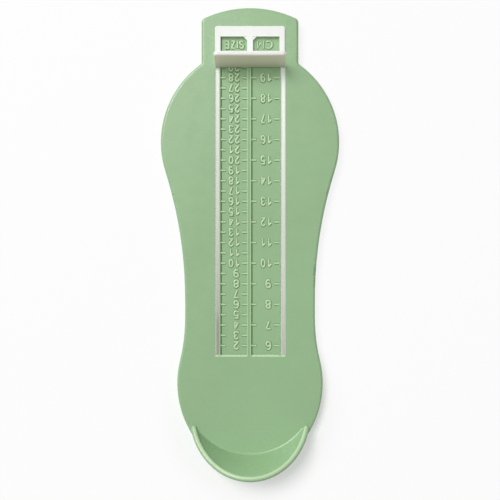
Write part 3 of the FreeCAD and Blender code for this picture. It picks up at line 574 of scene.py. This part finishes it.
def new_tree(name, inputs):
    """A geometry node group with named inputs, and its input and output nodes."""
    tree = bpy.data.node_groups.new(name, "GeometryNodeTree")
    for label, kind, value in inputs:
        socket = tree.interface.new_socket(label, in_out="INPUT", socket_type=kind)
        if value is not None:
            socket.default_value = value
    tree.interface.new_socket("Geometry", in_out="OUTPUT", socket_type="NodeSocketGeometry")
    return tree, tree.nodes.new("NodeGroupInput"), tree.nodes.new("NodeGroupOutput")


def close_tree(tree, given, output, geometry):
    """End a tree in real geometry that wears its material."""
    real = add_node(tree, "GeometryNodeRealizeInstances", {}, {"Geometry": geometry})
    worn = add_node(tree, "GeometryNodeSetMaterial", {}, {
        "Geometry": real.outputs[0], "Material": given.outputs["Material"]})
    tree.links.new(worn.outputs[0], output.inputs[0])


def grown(name, tree, values, material):
    """Run a tree on an empty mesh and keep the result as a plain piece."""
    seed = link(name + "_seed", bpy.data.meshes.new(name + "_seed"))
    modifier = seed.modifiers.new("nodes", "NODES")
    modifier.node_group = tree
    sockets = {item.name: item.identifier for item in tree.interface.items_tree}
    for label, value in {**values, "Material": material}.items():
        modifier[sockets[label]] = value
    bpy.context.view_layer.update()
    seen = seed.evaluated_get(bpy.context.evaluated_depsgraph_get())
    mesh = bpy.data.meshes.new_from_object(seen)
    mesh.name = name
    bpy.data.objects.remove(seed)
    smooth_by_angle(mesh, MARK_TURN)
    return link(name, mesh)


def mark_tree():
    """Rows of raised marks: a flared bar with round shoulders at each step of a line of points."""
    tree, given, output = new_tree("raised_mark_row", [
        ("Start", "NodeSocketVector", None),
        ("Pitch", "NodeSocketFloat", 5 * MM),
        ("Count", "NodeSocketInt", 2),
        ("Length", "NodeSocketFloat", 2.3 * MM),
        ("Width", "NodeSocketFloat", 0.8 * MM),
        ("Height", "NodeSocketFloat", 0.5 * MM),
        ("Flare", "NodeSocketFloat", 0.3 * MM),
        ("Shoulder", "NodeSocketFloat", 0.1 * MM),
        ("Material", "NodeSocketMaterial", None),
    ])
    value = given.outputs
    step = add_node(tree, "ShaderNodeCombineXYZ", {}, {1: value["Pitch"]})
    line = add_node(tree, "GeometryNodeMeshLine", {}, {
        "Count": value["Count"], "Start Location": value["Start"], "Offset": step.outputs[0]})
    # the bar is twice as high as it shows, so its lower half is sunk in the plate, and its two
    # sides spread twice as far
    full = add_node(tree, "ShaderNodeMath", {"operation": "MULTIPLY"}, {0: value["Height"], 1: 2.0})
    foot = add_node(tree, "ShaderNodeMath", {"operation": "MULTIPLY_ADD"}, {
        0: value["Flare"], 1: 4.0, 2: value["Width"]})
    section = add_node(tree, "GeometryNodeCurvePrimitiveQuadrilateral", {"mode": "TRAPEZOID"}, {
        "Top Width": foot.outputs[0], "Bottom Width": value["Width"], "Height": full.outputs[0],
        "Offset": 0.0})
    rounded = add_node(tree, "GeometryNodeFilletCurve", {"mode": "POLY"}, {
        "Curve": section.outputs[0], "Radius": value["Shoulder"], "Count": 4})
    end = add_node(tree, "ShaderNodeCombineXYZ", {}, {0: value["Length"]})
    path = add_node(tree, "GeometryNodeCurvePrimitiveLine", {}, {"End": end.outputs[0]})
    bar = add_node(tree, "GeometryNodeCurveToMesh", {}, {
        "Curve": path.outputs[0], "Profile Curve": rounded.outputs[0], "Fill Caps": True})
    row = add_node(tree, "GeometryNodeInstanceOnPoints", {}, {
        "Points": line.outputs[0], "Instance": bar.outputs[0]})
    close_tree(tree, given, output, row.outputs[0])
    return tree


def joined(name, pieces):
    """Join pieces of one finish that are moulded on the plate into one."""
    with bpy.context.temp_override(active_object=pieces[0], selected_editable_objects=pieces):
        bpy.ops.object.join()
    whole = pieces[0]
    whole.name = name
    whole.data.name = name
    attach(whole, "base")


# Scale places -------------------------------------------------------------------------------------

def scale_floor(scale):
    """Height of the columns' floor, below the plate's flat top that the slider rides on."""
    return FRAME_HIGH.z - FRAME_THICKNESS - FRAME_LIFT - scale.depth


def columns_heel(scale):
    """Where the columns and slots end towards the heel."""
    return PLATE_LOW.y + scale.heel_to_columns


def divider_sides(scale):
    """Where the left and right sides of the bar between the columns stand."""
    return scale.divider_shift - scale.divider / 2, scale.divider_shift + scale.divider / 2


def mark_place(scale, centimetres):
    """Where a length in centimetres stands along the plate."""
    return PLATE_LOW.y + scale.rim_wall + centimetres * CENTIMETRE


# Characters ---------------------------------------------------------------------------------------

# degrees between the points of a round stroke
ARC_STEP = 22.5
# at a sharp corner a stroke's section is widened by no more than one over this
MITRE_LIMIT = 0.65
# how deep the strokes' feet are sunk in the columns' floor
STROKE_FOOT = 0.05 * MM
# every other stroke is this much lower, and each point of a stroke this much lower than the last
STROKE_STEP = 0.004 * MM
POINT_STEP = 0.002 * MM


def arc(x, y, wide, high, start, end):
    """Points along part of an oval, from one angle in degrees to another."""
    steps = max(2, math.ceil(abs(end - start) / ARC_STEP))
    turns = [math.radians(start + (end - start) * step / steps) for step in range(steps + 1)]
    return [(x + wide * math.cos(turn), y + high * math.sin(turn)) for turn in turns]


SIX = (arc(0.5, 0.6, 0.48, 0.4, 48, 180) + arc(0.5, 0.29, 0.48, 0.29, 180, 540),)
# each character's width, as a share of a full one, and the middle lines of its strokes in a box
# that is 1 wide and 1 high; strokes that meet at a sharp corner are lines of their own
CHARACTERS = {
    "0": (1.0, (
        arc(0.5, 0.6, 0.46, 0.4, 0, 180) + arc(0.5, 0.4, 0.46, 0.4, 180, 360) + [(0.96, 0.6)],)),
    "1": (1.0, ([(0.66, 0.0), (0.66, 1.0)], [(0.0, 0.64), (0.64, 0.96)])),
    "2": (1.0, (arc(0.5, 0.7, 0.46, 0.3, 165, -35) + [(0.08, 0.03)], [(0.0, 0.0), (1.0, 0.0)])),
    "3": (1.0, (
        arc(0.48, 0.76, 0.42, 0.24, 160, -90) + arc(0.48, 0.27, 0.5, 0.27, 80, -160),)),
    "4": (1.0, (
        [(0.78, 0.0), (0.78, 1.0)], [(0.74, 0.97), (0.04, 0.24)], [(0.0, 0.22), (1.0, 0.22)])),
    "5": (1.0, (
        [(0.92, 1.0), (0.14, 1.0), (0.08, 0.5)], arc(0.48, 0.33, 0.5, 0.33, 145, -150))),
    "6": (1.0, SIX),
    "7": (1.0, ([(0.0, 1.0), (1.0, 1.0)], [(0.94, 0.96), (0.28, 0.0)])),
    "8": (1.0, (arc(0.5, 0.76, 0.42, 0.24, 0, 360), arc(0.5, 0.27, 0.5, 0.27, 0, 360))),
    "9": (1.0, tuple([(1 - x, 1 - y) for x, y in stroke] for stroke in SIX)),
    "C": (1.0, (arc(0.6, 0.5, 0.6, 0.5, 48, 312),)),
    "E": (0.85, ([(1.0, 1.0), (0.0, 1.0), (0.0, 0.0), (1.0, 0.0)], [(0.0, 0.5), (0.86, 0.5)])),
    "I": (0.0, ([(0.5, 0.0), (0.5, 1.0)],)),
    "M": (1.0, ([(0.0, 0.0), (0.0, 1.0), (0.5, 0.25), (1.0, 1.0), (1.0, 0.0)],)),
    "S": (1.0, (arc(0.5, 0.76, 0.46, 0.24, 25, 250) + arc(0.5, 0.26, 0.5, 0.26, 75, -155),)),
    "Z": (1.0, (
        [(0.0, 1.0), (1.0, 1.0)], [(0.92, 0.96), (0.08, 0.04)], [(0.0, 0.0), (1.0, 0.0)])),
}


def write(strokes, words, start, middle, width, height, gap, stroke):
    """Add the strokes of some words, read from the toe end, to a list of lines of points.

    start is where the first character begins, across the plate, and middle the middle of its
    height, along it. width and height are those of a full character, gap lies between two, and
    stroke is the strokes' thickness.
    """
    here = start
    for character in words:
        share, lines = CHARACTERS[character]
        wide = share * (width - stroke)
        tall = height - stroke
        for line in lines:
            strokes.append([
                (here - stroke / 2 - x * wide, middle - (y - 0.5) * tall) for x, y in line])
        here -= wide + stroke + gap


def raise_stroke(shape, line, section, sinking=0.0):
    """Sweep an upright section along a line of points, mitred at its corners.

    section is a ring of (across, height) pairs. sinking makes each point's section a hair lower
    than the one before, so that strokes that cross have no common face.
    """
    points = [Vector(point) for point in line]
    closed = (points[0] - points[-1]).length < SAME_PLACE
    if closed:
        points.pop()
    ahead = [(after - here).normalized() for here, after in zip(points, points[1:] + points[:1])]
    if not closed:
        ahead[-1] = ahead[-2]
    rings = []
    for place, point in enumerate(points):
        before = ahead[place - 1] if place or closed else ahead[0]
        along = (before + ahead[place]).normalized()
        widened = 1 / max(MITRE_LIMIT, along.dot(before))
        rings.append([
            shape.verts.new((
                point.x - along.y * across * widened, point.y + along.x * across * widened,
                height - sinking * place))
            for across, height in section])
    if not closed:
        shape.faces.new(rings[0])
        shape.faces.new(rings[-1])
    sides = range(len(section))
    for ring, following in zip(rings, rings[1:] + (rings[:1] if closed else [])):
        for side in sides:
            shape.faces.new((ring[side - 1], ring[side], following[side], following[side - 1]))


def raised_strokes(name, strokes, scale):
    """Strokes with flat tops, round shoulders and flared sides on the columns' floor, as a mesh."""
    half = scale.stroke / 2
    foot = scale_floor(scale) - STROKE_FOOT
    top = scale_floor(scale) + scale.stroke_rise
    below = top - scale.shoulder
    section = (
        (-half - scale.flare, foot), (-half, below), (scale.shoulder - half, top),
        (half - scale.shoulder, top), (half, below), (half + scale.flare, foot))
    shape = bmesh.new()
    for number, line in enumerate(strokes):
        lower = STROKE_STEP * (number % 2)
        raise_stroke(shape, line, [(x, z - lower) for x, z in section], POINT_STEP)
    return shape_to_mesh(name, shape)


# Operators ----------------------------------------------------------------------------------------

class GAUGE_OT_plate(bpy.types.Operator):
    """Finish the moulded foot plate"""

    bl_idname = "gauge.plate"
    bl_label = "Foot plate"

    def execute(self, context):
        scale = context.scene.gauge_scale
        finished_copy("base_shell", "foot_plate", lambda shape: self.shape_columns(shape, scale))
        return {"FINISHED"}

    def shape_columns(self, shape, scale):
        """Sink the square CAD marks, where flared ones take their place, and draft two walls.

        The walls are those at the left of the columns, which slope out to their top.
        """
        floor = scale_floor(scale)
        top = floor + scale.depth
        drafted = (-scale.half_width, divider_sides(scale)[1])
        for corner in shape.verts:
            inside = abs(corner.co.x) < scale.half_width + SAME_PLACE
            if inside and abs(corner.co.z - floor - scale.mark_rise) < NEAR:
                corner.co.z = floor
            at_wall = any(abs(corner.co.x - wall) < NEAR for wall in drafted)
            if at_wall and abs(corner.co.z - top) < NEAR:
                corner.co.x -= scale.wall_draft
        bmesh.ops.remove_doubles(shape, verts=shape.verts, dist=SAME_PLACE)


class GAUGE_OT_edges(bpy.types.Operator):
    """Paint highlights on the slopes and edges of the columns and slots, and shade at the foot of
    two walls
    """

    bl_idname = "gauge.edges"
    bl_label = "Rubbed edges"

    def execute(self, context):
        scale, finish = context.scene.gauge_scale, context.scene.gauge_finish
        shape = bmesh.new()
        self.paint_slope_highlights(shape, scale)
        self.paint_line_highlights(shape, scale)
        self.paint_foot_shade(shape, scale)
        mesh = shape_to_mesh("edge_highlights_and_shade", shape)
        raised_piece("edge_highlights_and_shade", mesh, figure_material("sage_abs_edge_painted_light", finish.highlit))
        return {"FINISHED"}

    def paint_slope_highlights(self, shape, scale):
        """A slope at the heel end of each column and its slot, pale as a painted highlight."""
        top = scale_floor(scale) + scale.depth
        below = top - scale.end_slope
        slope = (
            (-scale.edge_line, top + scale.proud), (scale.shoulder, top + scale.proud),
            (scale.end_slope, below), (-scale.edge_line, below))
        heel = columns_heel(scale)
        left, right = divider_sides(scale)
        for start, end in ((-scale.slot_outer, left), (right, scale.slot_outer)):
            raise_stroke(shape, ((start, heel), (end, heel)), slope)

    def paint_line_highlights(self, shape, scale):
        """Painted highlights along the left wall, the divider's sides and the right slot's outer
        edge.
        """
        top = scale_floor(scale) + scale.depth
        half = scale.edge_line / 2
        foot = half + scale.proud
        line = (
            (-foot, top - scale.shoulder), (-half, top + scale.proud),
            (half, top + scale.proud), (foot, top - scale.shoulder))
        left, right = divider_sides(scale)
        for x in (
                scale.edge_line - scale.half_width - scale.wall, left + scale.edge_line,
                right - scale.wall_draft - scale.edge_line, scale.slot_outer + half):
            raise_stroke(shape, ((x, columns_heel(scale)), (x, RAIL_HIGH.y)), line)

    def paint_foot_shade(self, shape, scale):
        """A low strip of painted shade at the foot of each drafted wall."""
        floor = scale_floor(scale)
        strip = (
            (scale.proud, floor + scale.shoulder), (-scale.foot_shade_width, floor + scale.proud),
            (-scale.foot_shade_width, floor - scale.proud), (scale.proud, floor - scale.proud))
        for x in (-scale.half_width, divider_sides(scale)[1]):
            raise_stroke(shape, ((x, columns_heel(scale)), (x, RAIL_HIGH.y)), strip)


class GAUGE_OT_marks(bpy.types.Operator):
    """Raise the four rows of scale marks"""

    bl_idname = "gauge.marks"
    bl_label = "Scale marks"

    def execute(self, context):
        scale, finish = context.scene.gauge_scale, context.scene.gauge_finish
        # the marks' pale tops are a painted highlight, and their dull foot painted shade
        material = figure_material("sage_abs_raised_painted_light", finish.figure_highlight)
        tree = mark_tree()
        divider_left, divider_right = divider_sides(scale)
        centimetres = scale.last - scale.first
        # where each row's marks begin, how far apart they stand, and how many there are
        rows = (
            (-scale.half_width, CENTIMETRE / 2, 2 * centimetres + 1),
            (divider_left - scale.mark_length, CENTIMETRE / 2, 2 * centimetres + 1),
            (divider_right, CENTIMETRE, centimetres + 1),
            (scale.half_width - scale.mark_length, CENTIMETRE, centimetres + 1),
        )
        made = []
        for number, (left, pitch, count) in enumerate(rows):
            start = (left - OVERLAP, mark_place(scale, scale.first), scale_floor(scale))
            values = {
                "Start": start, "Pitch": pitch, "Count": count,
                "Length": scale.mark_length + 2 * OVERLAP, "Width": scale.mark_width,
                "Height": scale.mark_rise + OVERLAP, "Flare": scale.flare,
            }
            made.append(grown(f"mark_row_{number}", tree, values, material))
        joined("scale_marks", made)
        return {"FINISHED"}


class GAUGE_OT_numbers(bpy.types.Operator):
    """Raise the shoe sizes, the centimetres and their plain headings"""

    bl_idname = "gauge.numbers"
    bl_label = "Scale numbers"

    def execute(self, context):
        scale, finish = context.scene.gauge_scale, context.scene.gauge_finish
        strokes = []
        for words, start, middle, width, height in self.numbers(scale) + self.headings(scale):
            write(strokes, words, start, middle, width, height, scale.digit_gap, scale.stroke)
        mesh = raised_strokes("scale_numbers", strokes, scale)
        # the characters' pale tops are a painted highlight, and their dull foot painted shade
        raised_piece("scale_numbers", mesh, figure_material("sage_abs_raised_painted_light", finish.figure_highlight))
        return {"FINISHED"}

    def numbers(self, scale):
        """The two columns' numbers, each with its start, middle, digits' width and height."""
        placed = []
        for half in range(2 * scale.first, 2 * scale.last + 1):
            texts = [(str(half - scale.size_shift), scale.size_start, scale.digit_height)]
            if half % 2 == 0:
                texts.append((str(half // 2), scale.centimetre_start, scale.centimetre_height))
            for words, start, height in texts:
                alone = len(words) == 1
                width = scale.single_width if alone else scale.digit_width
                placed.append((
                    words, start - alone * scale.single_inset, mark_place(scale, half / 2), width,
                    height))
        return placed

    def headings(self, scale):
        """The words over the columns, in the same form."""
        middle = FRAME_HIGH.y - scale.heading_ahead
        return [
            ("SIZE", scale.size_heading, middle, scale.size_letter, scale.heading_height),
            ("CM", scale.centimetre_heading, middle, scale.centimetre_letter,
             scale.heading_height)]


class GAUGE_OT_slider(bpy.types.Operator):
    """Finish the slider's frame, with its edges rounded as they leave the mould"""

    bl_idname = "gauge.slider"
    bl_label = "Slider"

    def execute(self, context):
        under = FRAME_HIGH.z - FRAME_THICKNESS - FRAME_LIFT / 2
        finished_copy("slider_frame", "sight_frame", eased_above=under, ease=FRAME_EASE)
        return {"FINISHED"}


class GAUGE_OT_small_parts(bpy.types.Operator):
    """Finish the toe stop, the slot rails, the runners and the rubber pads, which stay as built"""

    bl_idname = "gauge.small_parts"
    bl_label = "Stop, rails, runners and pads"

    def execute(self, context):
        for node, piece in frame["nodes"].items():
            if not piece.hide_render:
                wear(piece, slot_of(node))
        return {"FINISHED"}


class GAUGE_OT_stage(bpy.types.Operator):
    """Set up the floor, the two lamps, the pale surroundings and the camera"""

    bl_idname = "gauge.stage"
    bl_label = "Stage"

    def execute(self, context):
        stage = context.scene.gauge_stage
        self.lay_floor(stage)
        self.hang_lamp(stage, "high_lamp", stage.high_share, stage.high_elevation)
        self.hang_lamp(stage, "low_lamp", stage.low_share, stage.low_elevation).use_shadow = False
        self.light_room(context.scene, stage)
        self.stand_camera(context.scene, stage)
        context.scene.view_settings.view_transform = "Standard"
        return {"FINISHED"}

    def lay_floor(self, stage):
        """White matt paper with faint fibres, which glows as a backdrop lit from behind does."""
        half = stage.floor_size / 2
        mesh = bpy.data.meshes.new("floor")
        corners = [(-half, -half, 0), (half, -half, 0), (half, half, 0), (-half, half, 0)]
        mesh.from_pydata(corners, [], [(0, 1, 2, 3)])
        floor = link("floor", mesh)
        material, tree, output = new_material("white_paper_floor")
        coordinates = add_node(tree, "ShaderNodeTexCoord").outputs["Object"]
        fibres = add_node(tree, "ShaderNodeTexNoise", {}, {
            "Vector": coordinates, "Scale": per_metre(3.0)})
        tint = add_node(tree, "ShaderNodeMix", {"data_type": "RGBA"}, {
            0: fibres.outputs["Fac"], 6: shade(stage.floor, 0.998), 7: opaque(stage.floor)})
        paper = add_node(tree, "ShaderNodeBsdfDiffuse", {}, {"Color": tint.outputs[2]})
        rays = add_node(tree, "ShaderNodeLightPath")
        heel = (0, PLATE_LOW.y + stage.heel_centre, 0)
        reach = add_node(tree, "ShaderNodeVectorMath", {"operation": "DISTANCE"}, {
            0: coordinates, 1: heel})
        fading = add_node(tree, "ShaderNodeMapRange", {"interpolation_type": "SMOOTHSTEP"}, {
            "Value": reach.outputs["Value"], "From Min": stage.heel_shadow,
            "From Max": stage.heel_fade, "To Min": stage.heel_glow, "To Max": stage.glow})
        share = add_node(tree, "ShaderNodeMath", {"operation": "MULTIPLY"}, {
            0: rays.outputs["Is Camera Ray"], 1: fading.outputs[0]})
        glow = add_node(tree, "ShaderNodeEmission", {}, {"Color": opaque(stage.floor)})
        lit = add_node(tree, "ShaderNodeMixShader", {}, {
            0: share.outputs[0], 1: paper.outputs[0], 2: glow.outputs[0]})
        # from below the camera looks through the floor, at the underside of the plate
        under = add_node(tree, "ShaderNodeMath", {"operation": "MULTIPLY"}, {
            0: rays.outputs["Is Camera Ray"],
            1: add_node(tree, "ShaderNodeNewGeometry").outputs["Backfacing"]})
        one_sided = add_node(tree, "ShaderNodeMixShader", {}, {
            0: under.outputs[0], 1: lit.outputs[0],
            2: add_node(tree, "ShaderNodeBsdfTransparent").outputs[0]})
        tree.links.new(one_sided.outputs[0], output.inputs["Surface"])
        mesh.materials.append(material)

    def hang_lamp(self, stage, name, share, elevation):
        """A soft square lamp over the left of the toe end."""
        level = math.cos(elevation)
        direction = Vector((
            -math.sin(stage.lamp_bearing) * level, math.cos(stage.lamp_bearing) * level,
            math.sin(elevation)))
        lamp = bpy.data.lights.new(name, "AREA")
        lamp.shape = "SQUARE"
        lamp.size = stage.lamp_size
        # the power at which a level white surface at the middle gets this share of plain light
        lamp.energy = math.pi ** 2 * stage.lamp_distance ** 2 * share / direction.z
        holder = bpy.data.objects.new(name, lamp)
        holder.location = direction * stage.lamp_distance
        holder.rotation_euler = direction.to_track_quat("Z", "Y").to_euler()
        bpy.context.scene.collection.objects.link(holder)
        return lamp

    def light_room(self, scene, stage):
        """Even light from all sides; seen directly or in a gloss, the surroundings are white."""
        world = bpy.data.worlds.new("pale_room")
        world.use_nodes = True
        tree = world.node_tree
        tree.nodes.clear()
        rays = add_node(tree, "ShaderNodeLightPath")
        seen = add_node(tree, "ShaderNodeMath", {"operation": "MAXIMUM"}, {
            0: rays.outputs["Is Camera Ray"], 1: rays.outputs["Is Glossy Ray"]})
        seen = add_node(tree, "ShaderNodeMath", {"operation": "MAXIMUM"}, {
            0: seen.outputs[0], 1: rays.outputs["Is Transmission Ray"]})
        fill = add_node(tree, "ShaderNodeBackground", {}, {
            "Strength": 1 - stage.high_share - stage.low_share})
        white = add_node(tree, "ShaderNodeBackground", {}, {"Strength": 1.0})
        for background in (fill, white):
            background.inputs["Color"].default_value = (1, 1, 1, 1)
        mixed = add_node(tree, "ShaderNodeMixShader", {}, {
            0: seen.outputs[0], 1: fill.outputs[0], 2: white.outputs[0]})
        output = tree.nodes.new("ShaderNodeOutputWorld")
        tree.links.new(mixed.outputs[0], output.inputs["Surface"])
        scene.world = world

    def stand_camera(self, scene, stage):
        """Camera straight above the plate, with the toe end up."""
        camera = bpy.data.cameras.new("camera")
        camera.sensor_width = 36.0
        camera.lens = camera.sensor_width / 2 / math.tan(stage.view_angle / 2)
        holder = bpy.data.objects.new("camera", camera)
        holder.location = (0, stage.camera_shift, stage.camera_height)
        scene.collection.objects.link(holder)
        scene.camera = holder


# Panel and registration ---------------------------------------------------------------------------

OPERATORS = (
    GAUGE_OT_plate, GAUGE_OT_edges, GAUGE_OT_marks, GAUGE_OT_numbers, GAUGE_OT_slider,
    GAUGE_OT_small_parts, GAUGE_OT_stage,
)


class GAUGE_PT_panel(bpy.types.Panel):
    """Settings and parts of the foot gauge"""

    bl_idname = "GAUGE_PT_panel"
    bl_label = "Foot gauge"
    bl_space_type = "VIEW_3D"
    bl_region_type = "UI"
    bl_category = "Foot gauge"

    def draw(self, context):
        scene = context.scene
        for group in (scene.gauge_scale, scene.gauge_finish, scene.gauge_stage):
            box = self.layout.box()
            for name in group.bl_rna.properties.keys():
                if name not in {"rna_type", "name"}:
                    box.prop(group, name)
        for operator in OPERATORS:
            self.layout.operator(operator.bl_idname)


CLASSES = (GAUGE_PG_scale, GAUGE_PG_finish, GAUGE_PG_stage, *OPERATORS, GAUGE_PT_panel)


def register():
    for item in CLASSES:
        bpy.utils.register_class(item)
    bpy.types.Scene.gauge_scale = bpy.props.PointerProperty(type=GAUGE_PG_scale)
    bpy.types.Scene.gauge_finish = bpy.props.PointerProperty(type=GAUGE_PG_finish)
    bpy.types.Scene.gauge_stage = bpy.props.PointerProperty(type=GAUGE_PG_stage)


def unregister():
    del bpy.types.Scene.gauge_stage
    del bpy.types.Scene.gauge_finish
    del bpy.types.Scene.gauge_scale
    for item in reversed(CLASSES):
        bpy.utils.unregister_class(item)


def main():
    """Build every piece in order."""
    register()
    bpy.ops.gauge.plate()
    bpy.ops.gauge.edges()
    bpy.ops.gauge.marks()
    bpy.ops.gauge.numbers()
    bpy.ops.gauge.slider()
    bpy.ops.gauge.small_parts()
    bpy.ops.gauge.stage()


if __name__ == "__main__":
    main()
